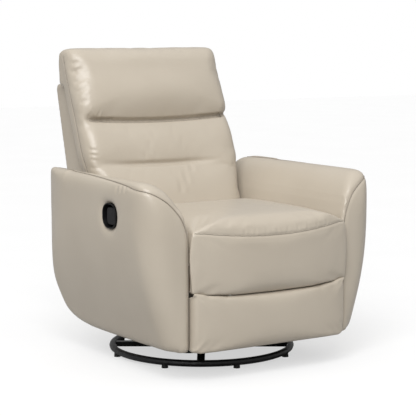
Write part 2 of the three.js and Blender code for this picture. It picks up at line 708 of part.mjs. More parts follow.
function makeBack() {
  add("back_cushion", makeBackCushion(), leather());
  add("headrest_cushion", makeHeadrest(), leather());
  add("back_board", makeBackBoard(), wood());
  add("back_shell", makeShell(), leather());

  const bracketX = [BOARD_HALF_WIDTH + 1, BOARD_HALF_WIDTH + 6];
  const { y, z } = RECLINE_PIVOT;
  const outline = polygon([
    [y - 12, z - 8],
    [y, z - 14],
    [y + 12, z - 8],
    [y + 15, z],
    [322, 560],
    [292, 560],
    [229, 404],
    [229, 392],
  ]);
  for (const [word, side] of Object.entries(SIDES)) {
    const bracket = alongX(outline, ...mirrored(bracketX, side));
    const pin = rodX(RECLINE_PIVOT, PIN_RADIUS, side * (bracketX[1] - 1), side * (PLATE_X[1] - 0.2));
    add("back_bracket_" + word, join(bracket, pin), steel());
  }
}

// ---------------------------------------------------------------- the chair

makeBase();
makeGlider();
makeSeatBox();
makeLegRest();
makeArms();
makePull();
makeBack();

const extent = new THREE.Box3().setFromObject(chair);
chair.position.y = -(extent.min.y + extent.max.y) / 2;

export default chair;
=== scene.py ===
"""Looks of a padded nursery chair that swivels, glides and reclines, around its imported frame.

Metres, +Z up. The chair faces -Y. Soft pieces start from their CAD solids' places and sizes.
"""

import json
import math

import bpy
import numpy as np
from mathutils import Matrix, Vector
from mathutils.bvhtree import BVHTree
from mathutils.kdtree import KDTree


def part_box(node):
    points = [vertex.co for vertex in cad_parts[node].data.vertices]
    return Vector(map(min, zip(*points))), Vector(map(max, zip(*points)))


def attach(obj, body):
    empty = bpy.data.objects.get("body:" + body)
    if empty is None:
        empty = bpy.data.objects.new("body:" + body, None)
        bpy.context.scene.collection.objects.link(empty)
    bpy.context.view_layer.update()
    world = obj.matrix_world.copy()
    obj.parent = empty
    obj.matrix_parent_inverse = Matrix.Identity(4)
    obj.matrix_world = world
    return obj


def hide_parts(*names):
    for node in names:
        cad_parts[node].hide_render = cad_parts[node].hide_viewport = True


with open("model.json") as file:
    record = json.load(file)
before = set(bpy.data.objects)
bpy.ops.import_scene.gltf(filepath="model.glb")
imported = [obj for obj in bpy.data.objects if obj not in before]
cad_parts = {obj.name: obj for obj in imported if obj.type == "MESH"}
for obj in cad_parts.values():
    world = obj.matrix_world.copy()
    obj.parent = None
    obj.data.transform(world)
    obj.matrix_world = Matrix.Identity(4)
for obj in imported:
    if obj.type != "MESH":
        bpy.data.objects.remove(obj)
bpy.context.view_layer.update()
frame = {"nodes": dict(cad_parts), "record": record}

SCENE = bpy.context.scene
NODES = frame["nodes"]
SIDES = {"left": -1, "right": 1}

# ---------------------------------------------------------------- meshes


def place(name, data):
    obj = bpy.data.objects.new(name, data)
    SCENE.collection.objects.link(obj)
    return obj


def mesh_object(name, points, faces):
    mesh = bpy.data.meshes.new(name)
    mesh.from_pydata([tuple(p) for p in points], [], faces)
    mesh.update()
    return place(name, mesh)


def copy_of(node, name):
    return place(name, NODES[node].data.copy())


def positions(obj):
    values = np.empty(len(obj.data.vertices) * 3)
    obj.data.vertices.foreach_get("co", values)
    return values.reshape(-1, 3)


def normals(obj):
    values = np.empty(len(obj.data.vertices) * 3)
    obj.data.vertices.foreach_get("normal", values)
    return values.reshape(-1, 3)


def set_positions(obj, points):
    obj.data.vertices.foreach_set("co", points.astype(np.float32).ravel())
    obj.data.update()


def bake(obj):
    """Applies the object's modifiers, and turns a curve into a mesh."""
    graph = bpy.context.evaluated_depsgraph_get()
    mesh = bpy.data.meshes.new_from_object(obj.evaluated_get(graph))
    if obj.type == "MESH":
        obj.modifiers.clear()
        obj.data = mesh
        return obj
    name = obj.name
    bpy.data.objects.remove(obj)
    return place(name, mesh)


def remesh(obj, voxel):
    modifier = obj.modifiers.new("Remesh", "REMESH")
    modifier.mode = "VOXEL"
    modifier.voxel_size = voxel
    return bake(obj)


def relax(obj, rounds, where=None):
    """Smooths the object, or only the vertices that the mask where picks."""
    modifier = obj.modifiers.new("Smooth", "SMOOTH")
    if where is not None:
        obj.vertex_groups.new(name="relaxed").add(np.nonzero(where)[0].tolist(), 1, "REPLACE")
        modifier.vertex_group = "relaxed"
    modifier.factor = 0.5
    modifier.iterations = rounds
    bake(obj)
    obj.vertex_groups.clear()
    return obj


def subdivide(obj):
    modifier = obj.modifiers.new("Subdivision", "SUBSURF")
    modifier.levels = 1
    modifier.render_levels = 1
    return bake(obj)


def shade_smooth(obj):
    obj.data.polygons.foreach_set("use_smooth", [True] * len(obj.data.polygons))
    return obj


def push(obj, amount):
    """Moves each vertex along its normal by amount, in metres."""
    set_positions(obj, positions(obj) + normals(obj) * np.asarray(amount)[:, None])


def smoothstep(low, high, value):
    t = np.clip((value - low) / (high - low), 0, 1)
    return t * t * (3 - 2 * t)


def inflate(obj, held, pressure, cap, slack=0.0):
    """Cloth simulation: the cover swells against what holds it, by cap at the most."""
    frames = 12
    start = positions(obj)
    group = obj.vertex_groups.new(name="held")
    steps = np.round(np.clip(held, 0, 1) * 20) / 20
    for weight in np.unique(steps):
        if weight > 0:
            group.add(np.nonzero(steps == weight)[0].tolist(), float(weight), "REPLACE")
    cloth = obj.modifiers.new("Cloth", "CLOTH")
    settings = cloth.settings
    settings.quality = 4
    settings.mass = 0.4
    settings.tension_stiffness = 20
    settings.compression_stiffness = 20
    settings.shear_stiffness = 8
    settings.bending_stiffness = 2.0
    settings.use_pressure = True
    settings.uniform_pressure_force = pressure
    settings.effector_weights.gravity = 0
    settings.vertex_group_mass = "held"
    settings.shrink_min = -slack
    cloth.point_cache.frame_start = 1
    cloth.point_cache.frame_end = frames
    for number in range(1, frames + 1):
        SCENE.frame_set(number)
    bake(obj)
    SCENE.frame_set(1)
    move = positions(obj) - start
    length = np.linalg.norm(move, axis=1)
    allowed = cap * np.tanh(length / cap)
    set_positions(obj, start + move * (allowed / np.maximum(length, 1e-9))[:, None])
    obj.vertex_groups.clear()
    return obj


# ---------------------------------------------------------------- lines on a surface


def smooth_line(points):
    """A Catmull-Rom line through the points, in even steps of 4 mm."""
    step = 0.004
    p = np.array(points, float)
    p = np.vstack([2 * p[0] - p[1], p, 2 * p[-1] - p[-2]])
    fine = []
    for a, b, c, d in zip(p, p[1:], p[2:], p[3:]):
        for t in np.linspace(0, 1, 24, endpoint=False):
            fine.append(
                0.5
                * (2 * b + (c - a) * t + (2 * a - 5 * b + 4 * c - d) * t**2 + (3 * b - a - 3 * c + d) * t**3)
            )
    fine.append(p[-2])
    fine = np.array(fine)
    along = np.concatenate([[0], np.cumsum(np.linalg.norm(np.diff(fine, axis=0), axis=1))])
    count = max(2, int(along[-1] / step))
    wanted = np.linspace(0, along[-1], count)
    return np.stack([np.interp(wanted, along, fine[:, i]) for i in range(3)], axis=1)


def surface_of(obj):
    return BVHTree.FromPolygons([v.co for v in obj.data.vertices], [p.vertices for p in obj.data.polygons])


def onto(obj, line, lift=0.0):
    """The line's points moved to the nearest places on obj, and lifted off it."""
    tree = surface_of(obj)
    found = []
    for point in line:
        spot, normal, _, _ = tree.find_nearest(Vector(point))
        found.append(spot + normal * lift)
    return np.array(found)


def settle(obj, line):
    """The line laid on obj, with the kinks drawn out of it."""
    for _ in range(8):
        line = onto(obj, line)
        for _ in range(4):
            line[1:-1] = (line[:-2] + 2 * line[1:-1] + line[2:]) / 4
    return onto(obj, line)


def cast(obj, points, direction):
    """Where rays through the points meet obj, coming from outside along direction."""
    tree = surface_of(obj)
    aim = Vector(direction)
    return np.array([tree.ray_cast(Vector(point) - 3 * aim, aim)[0] for point in points])


def folds_on_front(obj, folds):
    """Gives each fold (x, z, run in x, run in z, half-width) its two ends on the front of obj."""
    starts = cast(obj, [(x, 0, z) for x, z, _, _, _ in folds], (0, 1, 0))
    ends = cast(obj, [(x + dx, 0, z + dz) for x, z, dx, dz, _ in folds], (0, 1, 0))
    return list(zip(starts, ends, [fold[-1] for fold in folds]))


def distance_to(obj, line):
    tree = KDTree(len(line))
    for i, point in enumerate(line):
        tree.insert(Vector(point), i)
    tree.balance()
    return np.array([tree.find(v.co)[2] for v in obj.data.vertices])


def groove(obj, line, width, depth, strength=1.0):
    away = distance_to(obj, line)
    push(obj, -depth * strength * np.exp(-((away / width) ** 2)))


def pucker(obj, spots, depth):
    """Short folds that run in from a seam: (start, end, half-width) of each, on the surface."""
    p = positions(obj)
    n = normals(obj)
    sunk = np.zeros(len(p))
    for start, end, width in spots:
        start = np.array(start)
        run = np.array(end) - start
        length = np.linalg.norm(run)
        along = (p - start) @ (run / length)
        near = np.linalg.norm(p - start - np.outer(along, run / length), axis=1)
        across = near / width
        fade = smoothstep(-0.15, 0.12, along / length) * (1 - smoothstep(0.35, 1.0, along / length))
        valley = np.exp(-(across**2))
        ridges = 0.55 * np.exp(-((across - 2.0) ** 2))
        sunk += fade * (valley - ridges)
    set_positions(obj, p - n * (depth * sunk)[:, None])


def fit_between(obj, low, high):
    """Stretches the object so that its box reaches from low to high; None leaves an end alone."""
    p = positions(obj)
    for axis in range(3):
        ends = [p[:, axis].min(), p[:, axis].max()]
        wanted = [ends[i] if value[axis] is None else value[axis] for i, value in enumerate((low, high))]
        p[:, axis] = np.interp(p[:, axis], ends, wanted)
    set_positions(obj, p)


def wrap_sides(obj, rear_y, below_z, reach):
    """Draws the rear of the object's sides back by reach, so that no gap shows beside them."""
    p = positions(obj)
    half_width = np.abs(p[:, 0]).max()
    side = smoothstep(half_width - 0.022, half_width - 0.014, np.abs(p[:, 0]))
    side *= (p[:, 2] < below_z) * smoothstep(rear_y - 0.014, rear_y - 0.003, p[:, 1])
    p[:, 1] += reach * side
    set_positions(obj, p)


def joined(name, first, second):
    shift = len(first.data.vertices)
    points = [*positions(first), *positions(second)]
    faces = [tuple(face.vertices) for face in first.data.polygons]
    faces += [tuple(i + shift for i in face.vertices) for face in second.data.polygons]
    for old in (first, second):
        bpy.data.objects.remove(old)
    return mesh_object(name, points, faces)


def tube(name, line, radius):
    curve = bpy.data.curves.new(name, "CURVE")
    curve.dimensions = "3D"
    curve.bevel_depth = radius
    curve.bevel_resolution = 3
    curve.use_fill_caps = True
    spline = curve.splines.new("POLY")
    spline.points.add(len(line) - 1)
    spline.points.foreach_set("co", np.hstack([line, np.ones((len(line), 1))]).ravel())
    return shade_smooth(bake(place(name, curve)))


# ---------------------------------------------------------------- materials


class Nodes:
    """A short way to write a material's node tree."""

    def __init__(self, name):
        self.material = bpy.data.materials.new(name)
        self.material.use_nodes = True
        self.tree = self.material.node_tree
        self.shader = self.tree.nodes["Principled BSDF"]
        self.place = self.add("ShaderNodeTexCoord").outputs["Object"]

    def add(self, kind, **values):
        node = self.tree.nodes.new(kind)
        for key, value in values.items():
            setattr(node, key, value)
        return node

    def link(self, source, target):
        self.tree.links.new(source, target)

    def noise(self, scale, detail=3.0, stretch=(1, 1, 1)):
        mapping = self.add("ShaderNodeMapping")
        mapping.inputs["Scale"].default_value = stretch
        self.link(self.place, mapping.inputs["Vector"])
        noise = self.add("ShaderNodeTexNoise")
        noise.inputs["Scale"].default_value = scale
        noise.inputs["Detail"].default_value = detail
        self.link(mapping.outputs["Vector"], noise.inputs["Vector"])
        return noise.outputs["Fac"]

    def cells(self, scale):
        cells = self.add("ShaderNodeTexVoronoi", feature="SMOOTH_F1")
        cells.inputs["Scale"].default_value = scale
        cells.inputs["Smoothness"].default_value = 0.6
        self.link(self.place, cells.inputs["Vector"])
        return cells.outputs["Distance"]

    def ramp(self, source, stops):
        node = self.add("ShaderNodeValToRGB")
        ramp = node.color_ramp
        for element, (where, colour) in zip(ramp.elements, stops):
            element.position = where
            element.color = (*colour, 1)
        self.link(source, node.inputs["Fac"])
        return node.outputs["Color"]

    def between(self, source, low, high):
        spread = self.add("ShaderNodeMapRange")
        spread.inputs["To Min"].default_value = low
        spread.inputs["To Max"].default_value = high
        self.link(source, spread.inputs["Value"])
        return spread.outputs["Result"]

    def bump(self, height, distance, strength, below=None):
        bump = self.add("ShaderNodeBump")
        bump.inputs["Distance"].default_value = distance
        bump.inputs["Strength"].default_value = strength
        self.link(height, bump.inputs["Height"])
        if below:
            self.link(below, bump.inputs["Normal"])
        return bump.outputs["Normal"]

    def set(self, **values):
        for key, value in values.items():
            self.shader.inputs[key.replace("_", " ")].default_value = value


def leather_material(name, light, dark, rough=(0.27, 0.4)):
    """Pale leather: soft mottling, a fine pebbled grain and faint creases under it."""
    m = Nodes(name)
    colour = m.ramp(m.noise(5, 5), [(0.3, dark), (0.7, light)])
    m.link(colour, m.shader.inputs["Base Color"])
    m.link(m.between(m.noise(40, 4), *rough), m.shader.inputs["Roughness"])
    creases = m.bump(m.noise(26, 4, (1, 1, 0.6)), 0.004, 0.09)
    pores = m.bump(m.noise(1400, 2), 0.0003, 0.1, creases)
    grain = m.bump(m.cells(520), 0.0006, 0.16, pores)
    m.link(grain, m.shader.inputs["Normal"])
    m.set(Sheen_Weight=0.06, Sheen_Roughness=0.4, Specular_IOR_Level=0.5)
    return m.material


def paint_material(name, colour, rough):
    """Powder coat: a faint orange peel and a few dull patches."""
    m = Nodes(name)
    lighter = tuple(c * 1.5 + 0.002 for c in colour)
    m.link(m.ramp(m.noise(30, 4), [(0.35, colour), (0.75, lighter)]), m.shader.inputs["Base Color"])
    m.link(m.between(m.noise(90, 3), rough - 0.06, rough + 0.1), m.shader.inputs["Roughness"])
    m.link(m.bump(m.noise(700, 2), 0.0004, 0.12), m.shader.inputs["Normal"])
    return m.material


def steel_material(name, colour, rough):
    """Zinc plate: patchy tone and fine rolling marks along the part."""
    m = Nodes(name)
    darker = tuple(c * 0.7 for c in colour)
    m.link(m.ramp(m.noise(60, 5), [(0.3, darker), (0.7, colour)]), m.shader.inputs["Base Color"])
    rolled = m.between(m.noise(140, 3, (1, 0.05, 0.4)), rough - 0.1, rough + 0.12)
    m.link(rolled, m.shader.inputs["Roughness"])
    m.link(m.bump(m.noise(900, 2, (1, 0.03, 0.3)), 0.0002, 0.15), m.shader.inputs["Normal"])
    m.set(Metallic=1.0)
    return m.material


def timber_material(name, light, dark):
    """Rails darkened as painted shade, so the slits they show through read as shadow: long grain along Y,
    with darker late wood.
    """
    m = Nodes(name)
    grain = m.ramp(m.noise(22, 8, (6, 0.35, 6)), [(0.35, dark), (0.62, light)])
    m.link(grain, m.shader.inputs["Base Color"])
    m.link(m.bump(m.noise(240, 4, (3, 0.1, 3)), 0.0004, 0.3), m.shader.inputs["Normal"])
    m.set(Roughness=0.72)
    return m.material


def plastic_material(name, colour, rough):
    """Moulded plastic: a spark-eroded texture and slightly uneven gloss."""
    m = Nodes(name)
    lighter = tuple(c * 1.4 + 0.003 for c in colour)
    m.link(m.ramp(m.noise(35, 3), [(0.4, colour), (0.8, lighter)]), m.shader.inputs["Base Color"])
    m.link(m.between(m.noise(60, 3), rough - 0.05, rough + 0.08), m.shader.inputs["Roughness"])
    m.link(m.bump(m.noise(1600, 2), 0.0002, 0.2), m.shader.inputs["Normal"])
    m.set(Specular_IOR_Level=0.3)
    return m.material


LEATHER = leather_material("greige leather", (0.505, 0.447, 0.366), (0.478, 0.42, 0.341))
# The piping leather is darker than the cover as painted shade: it draws the shadow line along each seam.
PIPING_PAINTED_SHADE = leather_material("leather piping darkened as painted seam shade", (0.30, 0.26, 0.21), (0.27, 0.23, 0.185), (0.34, 0.46))
FINISHES = {
    "black_paint": paint_material("black powder coat", (0.008, 0.008, 0.009), 0.34),
    "steel": paint_material("black mechanism steel", (0.014, 0.014, 0.015), 0.42),
    "spring_steel": steel_material("spring steel", (0.16, 0.16, 0.17), 0.45),
    # The rails' near-black tone is painted shade for the slits beside the seat and arms.
    "timber": timber_material("rails darkened as painted slit shade", (0.10, 0.066, 0.042), (0.065, 0.042, 0.027)),
    "black_plastic": plastic_material("black moulding", (0.004, 0.004, 0.0043), 0.46),
    "glide_plastic": plastic_material("glide plastic", (0.014, 0.014, 0.014), 0.5),
    "leather": LEATHER,
}


def wear(obj, material):
    obj.data.materials.clear()
    obj.data.materials.append(material)
    return obj


def finish_cad_nodes():
    for entry in frame["record"]["subparts"]:
        wear(NODES[entry["node"]], FINISHES[entry["material_slot"]])


def leather_piece(obj, body, *nodes, material=None, fill=None):
    shade_smooth(wear(obj, material or LEATHER))
    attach(obj, body)
    if nodes:
        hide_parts(*nodes)
    return obj


def make_piping(name, line, radius, body):
    # The tube wears the darkened piping leather, which paints the seam's shadow line.
    leather_piece(tube(name, line, radius), body, material=PIPING_PAINTED_SHADE)


# ---------------------------------------------------------------- camera, floor and light


def make_camera():
    azimuth, elevation = math.radians(-32.75), math.radians(7)
    distance, aim_height, aim_right = 4.93, 0.48, 0.0217
    low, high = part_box("base_ring")
    away = Vector(
        (
            math.sin(azimuth) * math.cos(elevation),
            -math.cos(azimuth) * math.cos(elevation),
            math.sin(elevation),
        )
    )
    right = Vector((math.cos(azimuth), math.sin(azimuth), 0))
    aim = Vector(((low.x + high.x) / 2, (low.y + high.y) / 2, aim_height)) + right * aim_right
    camera = place("camera", bpy.data.cameras.new("camera"))
    camera.data.lens = 127.7
    camera.data.sensor_width = 36
    camera.location = aim + away * distance
    camera.rotation_euler = (-away).to_track_quat("-Z", "Y").to_euler()
    SCENE.camera = camera


def area_light(name, where, aim, size, power):
    light = bpy.data.lights.new(name, "AREA")
    light.shape = "RECTANGLE"
    light.size, light.size_y = size
    light.energy = power
    lamp = place(name, light)
    lamp.location = where
    lamp.rotation_euler = (Vector(aim) - Vector(where)).to_track_quat("-Z", "Y").to_euler()


def floor_material():
    """A white sweep that glows a little to the camera, and throws less light up at the chair."""
    m = Nodes("studio floor")
    paper = m.ramp(m.noise(2, 2), [(0.3, (0.93, 0.93, 0.93)), (0.7, (0.96, 0.96, 0.96))])
    m.link(paper, m.shader.inputs["Base Color"])
    m.set(Roughness=0.8)
    glow = m.add("ShaderNodeEmission")
    glow.inputs["Strength"].default_value = 1.0
    seen = m.add("ShaderNodeMixShader")
    seen.inputs["Fac"].default_value = 0.6
    m.link(m.shader.outputs["BSDF"], seen.inputs[1])
    m.link(glow.outputs["Emission"], seen.inputs[2])
    bounce = m.add("ShaderNodeBsdfDiffuse")
    bounce.inputs["Color"].default_value = (0.45, 0.45, 0.45, 1)
    by_ray = m.add("ShaderNodeMixShader")
    m.link(m.add("ShaderNodeLightPath").outputs["Is Camera Ray"], by_ray.inputs["Fac"])
    m.link(bounce.outputs["BSDF"], by_ray.inputs[1])
    m.link(seen.outputs["Shader"], by_ray.inputs[2])
    m.link(by_ray.outputs["Shader"], m.tree.nodes["Material Output"].inputs["Surface"])
    return m.material


def make_stage():
    size = 14
    corners = [(-size, -size, 0), (size, -size, 0), (size, size, 0), (-size, size, 0)]
    floor = mesh_object("studio_floor", corners, [(0, 1, 2, 3)])
    wear(floor, floor_material())

    make_sky()
    sun = bpy.data.lights.new("overhead", "SUN")
    sun.energy = 1.95
    sun.angle = math.radians(45)
    overhead = place("overhead", sun)
    overhead.rotation_euler = Vector((0.6, 0.64, -0.75)).to_track_quat("-Z", "Y").to_euler()
    area_light("softbox", (-1.2, -1.6, 2.8), (0, 0, 0.6), (0.9, 0.9), 18)
    SCENE.view_settings.view_transform = "Standard"


def make_sky():
    """A white studio: brighter overhead than at the horizon, and plain white behind the chair."""
    world = bpy.data.worlds.new("studio")
    SCENE.world = world
    world.use_nodes = True
    tree = world.node_tree
    background = tree.nodes["Background"]
    background.inputs["Color"].default_value = (1, 1, 1, 1)
    direction = tree.nodes.new("ShaderNodeTexCoord").outputs["Generated"]
    split = tree.nodes.new("ShaderNodeSeparateXYZ")
    tree.links.new(direction, split.inputs["Vector"])
    brightness = tree.nodes.new("ShaderNodeMapRange")
    brightness.inputs["To Min"].default_value = 0.3
    brightness.inputs["To Max"].default_value = 1.0
    height = tree.nodes.new("ShaderNodeMath")
    height.operation = "POWER"
    height.inputs[1].default_value = 2.0
    tree.links.new(split.outputs["Z"], height.inputs[0])
    tree.links.new(height.outputs["Value"], brightness.inputs["Value"])
    seen = tree.nodes.new("ShaderNodeMath")
    seen.operation = "MAXIMUM"
    tree.links.new(brightness.outputs["Result"], seen.inputs[0])
    tree.links.new(tree.nodes.new("ShaderNodeLightPath").outputs["Is Camera Ray"], seen.inputs[1])
    tree.links.new(seen.outputs["Value"], background.inputs["Strength"])


# ---------------------------------------------------------------- arms


def open_pocket(cover):
    """Sinks the leather behind the tray of the release pull."""
    low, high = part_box("pull_bezel")
    margin = 0.002
    p = positions(cover)
    across = np.abs(p[:, 1] - (low.y + high.y) / 2) / ((high.y - low.y) / 2 - margin)
    up = np.abs(p[:, 2] - (low.z + high.z) / 2) / ((high.z - low.z) / 2 - margin)
    behind = (across**3 + up**3 < 1) & (p[:, 0] < high.x)
    p[behind, 0] = high.x + 0.003
    set_positions(cover, p)


def round_front_corner(cover, low, high):
    """Where the arm tapers towards the floor, its outer front corner stays as round as higher up."""
    p = positions(cover)
    x, z = np.abs(p[:, 0]), p[:, 2]
    heights = np.linspace(low.z, high.z, 40)
    widest = [x[np.abs(z - height) < 0.012].max() for height in heights]
    outer = np.interp(z, heights, widest)
    across = np.clip((x - outer + 0.075) / 0.075, 0, 1)
    depth = np.clip((p[:, 1] - low.y) / 0.16, 0, 1)
    p[:, 1] += 0.07 * (1 - np.sqrt(1 - across**2)) * (1 - depth) * (1 - smoothstep(0.15, 0.48, z))
    set_positions(cover, p)
    remesh(cover, 0.006)


def arm_seam(cover, side, low, high):
    """The piped seam: up the rear edge, along the ridge, and down the front's inner edge."""
    front, rear, foot, top = low.y, high.y, low.z, high.z
    route = [
        (0.340, rear - 0.060, foot + 0.012),
        (0.375, rear - 0.030, foot + 0.10),
        (0.392, rear - 0.020, foot + 0.24),
        (0.398, rear - 0.018, foot + 0.38),
        (0.396, rear - 0.026, top - 0.06),
        (0.386, rear - 0.060, top - 0.006),
        (0.395, rear - 0.130, top),
        (0.410, rear - 0.330, top),
        (0.424, front + 0.242, top - 0.005),
        (0.430, front + 0.142, top - 0.013),
        (0.428, front + 0.092, top - 0.023),
        (0.412, front + 0.057, top - 0.031),
        (0.385, front + 0.035, top - 0.043),
        (0.350, front + 0.020, top - 0.065),
        (0.322, front + 0.011, top - 0.100),
        (0.304, front + 0.004, top - 0.139),
        (0.296, front + 0.001, top - 0.187),
        (0.294, front, top - 0.320),
        (0.295, front, foot + 0.012),
    ]
    return settle(cover, smooth_line([(side * x, y, z) for x, y, z in route]))


def gather_corner(cover, side, top):
    """Three short folds below the seam, where it turns down at the front of the arm."""
    places = (-0.285, -0.262, -0.236)
    folds = [(y, 0.030 + 0.25 * (y + 0.24)) for y in places]
    starts = [(side, y, top - 0.020) for y, _ in folds]
    ends = [(side, y + 0.006, top - 0.020 - length) for y, length in folds]
    inward = (-side, 0, 0)
    lines = zip(cast(cover, starts, inward), cast(cover, ends, inward))
    pucker(cover, [(*line, 0.007) for line in lines], 0.0016)


def make_arm(word, side):
    """Both arms are measured on the right one, which the left one mirrors."""
    low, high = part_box("arm_right")
    cover = copy_of("arm_" + word, "arm_cover_" + word)
    remesh(cover, 0.006)
    relax(cover, 4)
    round_front_corner(cover, low, high)
    x, y, z = positions(cover).T
    outside = np.abs(x) > low.x + 0.026  # all but the flat face against the seat
    relax(cover, 12, where=outside)
    relax(cover, 70, where=outside & ((y < 0.12) | (z < low.z + 0.40)))
    relax(cover, 30, where=outside & (y > high.y - 0.07))
    seam = arm_seam(cover, side, low, high)
    fit_between(cover, *(tuple(corner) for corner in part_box("arm_" + word)))
    groove(cover, seam, 0.005, 0.0032)
    subdivide(cover)
    gather_corner(cover, side, high.z)
    if word == "left":
        open_pocket(cover)
    leather_piece(cover, "seat", "arm_" + word, fill=0.8)
    make_piping("arm_piping_" + word, onto(cover, seam, 0.0004), 0.0019, "seat")


# ---------------------------------------------------------------- seat

SEAM_SIDE_Z = 0.466
SEAM_CENTRE_Z = 0.445
SEAT_HALF_WIDTH = 0.2925  # fills the room between the arms
AHEAD_OF_ARMS_Y = (-0.432, -0.426)


def seam_height(x):
    half_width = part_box("front_panel")[1].x
    return SEAM_CENTRE_Z + (SEAM_SIDE_Z - SEAM_CENTRE_Z) * (x / half_width) ** 2


def swell_past_arms(cover, foot):
    """In front of the arms nothing holds the panel's sides, so they swell outwards."""
    p = positions(cover)
    ahead = 1 - smoothstep(*AHEAD_OF_ARMS_Y, p[:, 1])
    swell = np.clip((p[:, 2] - foot) * (SEAM_SIDE_Z - p[:, 2]) / (0.1**2), 0, 1)
    p[:, 0] += np.sign(p[:, 0]) * 0.013 * ahead * swell * smoothstep(0.25, 0.29, np.abs(p[:, 0]))
    set_positions(cover, p)


def make_seat_cover():
    """One cover over the seat cushion and the panel sewn to its front edge."""
    low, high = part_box("seat_cushion")
    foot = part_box("front_panel")[0].z
    cushion = copy_of("seat_cushion", "cushion")
    panel = copy_of("front_panel", "panel")
    p = positions(panel)
    p[:, 2] = foot + (p[:, 2] - foot) * 1.03
    set_positions(panel, p)
    cover = joined("seat_cover", cushion, panel)
    remesh(cover, 0.0065)
    relax(cover, 6)

    p = positions(cover)
    front_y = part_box("front_panel")[1].y
    under = 1 - smoothstep(low.z + 0.01, low.z + 0.05, p[:, 2])
    behind = smoothstep(front_y - 0.012, front_y, p[:, 1]) * under
    sewn = np.exp(-(((p[:, 2] - seam_height(p[:, 0])) / 0.008) ** 2)) * (p[:, 1] < front_y - 0.02)
    rear = smoothstep(high.y - 0.12, high.y - 0.04, p[:, 1])
    inflate(cover, np.maximum.reduce([behind, 0.9 * sewn, rear]), 2.5, 0.007)
    relax(cover, 3)
    new_low = (-SEAT_HALF_WIDTH, low.y - 0.004, foot - 0.003)
    fit_between(cover, new_low, (SEAT_HALF_WIDTH, None, high.z + 0.002))
    wrap_sides(cover, front_y, low.z, 0.045)
    swell_past_arms(cover, foot)
    subdivide(cover)

    seam_end = 0.286
    across = np.linspace(-seam_end, seam_end, 9)
    line = smooth_line([(x, low.y - 0.01 + 0.04 * (x / seam_end) ** 2, seam_height(x)) for x in across])
    seam = onto(cover, line)
    groove(cover, seam, 0.0045, 0.0028)
    spread = np.linspace(-0.12, 0.2, 9)
    folds = [(x, seam_height(x) + 0.003, 0.002 * math.sin(40 * x), 0.022, 0.0045) for x in spread]
    pucker(cover, folds_on_front(cover, folds), 0.0009)
    leather_piece(cover, "seat", "seat_cushion", "front_panel", fill=0.75)
    make_piping("seat_seam", onto(cover, seam, -0.0003), 0.0012, "seat")
    return cover


def make_footrest_pad(seat_cover):
    """The pad wraps back round its board at the sides, and its top follows the panel above it."""
    low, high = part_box("footrest_pad")
    cover = copy_of("footrest_pad", "footrest_pad_cover")
    remesh(cover, 0.006)
    relax(cover, 4)
    relax(cover, 24, where=positions(cover)[:, 1] < high.y - 0.012)
    p = positions(cover)
    behind = smoothstep(high.y - 0.010, high.y - 0.004, p[:, 1])
    inflate(cover, behind, 2.0, 0.005)
    clearance = 0.0008
    fit_between(cover, (low.x - 0.004, None, low.z - 0.001), (high.x + 0.004, high.y, high.z))

    across = np.linspace(low.x + 0.006, high.x - 0.006, 31)
    depth = high.y - 0.008
    middle = (low.z + high.z) / 2
    pad_top = cast(cover, [(x, depth, middle) for x in across], (0, 0, -1))[:, 2]
    panel_foot = cast(seat_cover, [(x, depth, middle) for x in across], (0, 0, 1))[:, 2]
    p = positions(cover)
    rise = np.interp(p[:, 0], across, panel_foot - clearance - pad_top)
    p[:, 2] += rise * smoothstep(middle, high.z - 0.03, p[:, 2])
    set_positions(cover, p)
    wrap_sides(cover, high.y, high.z, 0.032)
    subdivide(cover)
    leather_piece(cover, "footrest", "footrest_pad", fill=0.8)


def make_rear_skirt():
    """Leather pulled tight over the skirt's board."""
    cover = copy_of("rear_skirt", "rear_skirt_cover")
    remesh(cover, 0.006)
    relax(cover, 4)
    subdivide(cover)
    leather_piece(cover, "seat", "rear_skirt", fill=0.8)


# ---------------------------------------------------------------- back

CREASE_Z = 0.772
CHANNEL_Z = 0.625
BACK_LEAN = 0.404  # back for each metre up
WIDE_BACK = 0.302  # half-width of the padding above the arms
WIDENING_Z = (0.52, 0.66)  # between these heights it widens to that


def make_shell():
    """The outer back, with a piped seam round its rear face."""
    low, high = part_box("back_shell")
    cover = copy_of("back_shell", "back_shell_cover")
    remesh(cover, 0.0055)
    relax(cover, 8)
    inset = 0.010
    rear = [(low.x + inset, 0, z) for z in np.linspace(low.z + 0.03, high.z - 0.02, 12)]
    rear += [(x, 0, high.z - 0.010) for x in np.linspace(low.x + 0.03, high.x - 0.03, 10)]
    rear += [(high.x - inset, 0, z) for z in np.linspace(high.z - 0.02, low.z + 0.03, 12)]
    seam = smooth_line(cast(cover, rear, (0, -1, 0)))
    groove(cover, seam, 0.005, 0.0025)
    subdivide(cover)
    make_piping("back_shell_seam", onto(cover, seam, 0.0002), 0.0016, "back")
    leather_piece(cover, "back", "back_shell", fill=0.8)


def back_face_y(z):
    """The front of the back cushions, between their bulges."""
    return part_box("back_cushion")[0].y + 0.01 + BACK_LEAN * (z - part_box("back_cushion")[0].z)


def sag(x, z):
    """How far the sewn lines of the back hang down, most at the middle."""
    return 0.017 * (1 - (x / WIDE_BACK) ** 2) * np.exp(-(((z - 0.71) / 0.10) ** 2))


def draw_in(cover, height, reach, width, depth):
    """A tufted line across the front, from nothing at reach[0] to full at reach[1], and out again."""
    across = np.linspace(reach[0], min(reach[3], WIDE_BACK - 0.006), 160)
    line = cast(cover, [(x, 0, height - sag(x, height)) for x in across], (0, 1, 0))
    x = positions(cover)[:, 0]
    strength = smoothstep(reach[0], reach[1], x) * (1 - smoothstep(reach[2], reach[3], x))
    groove(cover, line, width, depth, strength)
    inside = (line[:, 0] > reach[0] + 0.02) & (line[:, 0] < reach[2])
    return onto(cover, line[inside])


